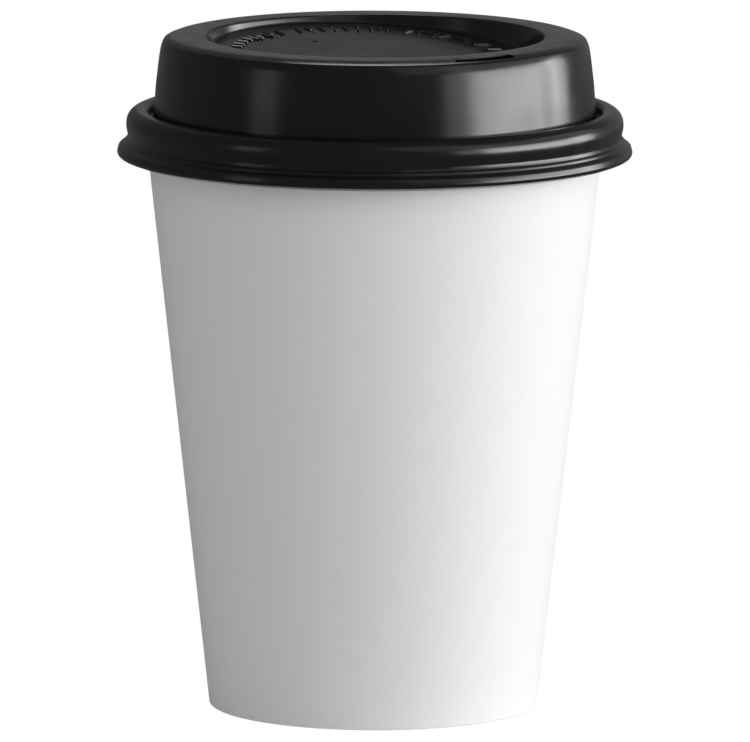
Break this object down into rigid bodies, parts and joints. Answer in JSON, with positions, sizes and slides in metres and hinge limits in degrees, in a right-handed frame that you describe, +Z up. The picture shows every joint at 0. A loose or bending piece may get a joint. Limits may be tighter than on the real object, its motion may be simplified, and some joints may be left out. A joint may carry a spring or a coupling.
{
  "type": "paper coffee cup",
  "caption": "Tapered takeaway coffee cup of white paper board with a rolled rim, closed by a black press-on lid that has a sunk sloping panel and a sip hole.",
  "frame": {"origin": "centre of the foot, on the surface that the cup stands on", "axes": "+Z up along the cup's axis, -Y towards the sip hole, +Y towards the side seam"},
  "size_m": [0.0946, 0.0946, 0.124],
  "materials": {
    "white_board": "white coated paper board, smooth and matt, with a faint fibre",
    "black_lid": "thin black drawn plastic sheet, satin to gloss"
  },
  "bodies": {
    "cup": {"cup_sidewall": "white_board", "cup_bottom": "white_board"},
    "lid": {"lid": "black_lid"}
  },
  "joints": [
    {"name": "lid_lift", "type": "slide", "parent": "cup", "child": "lid", "axis": [0, 0, 1], "range_m": [0, 0.075]}
  ]
}
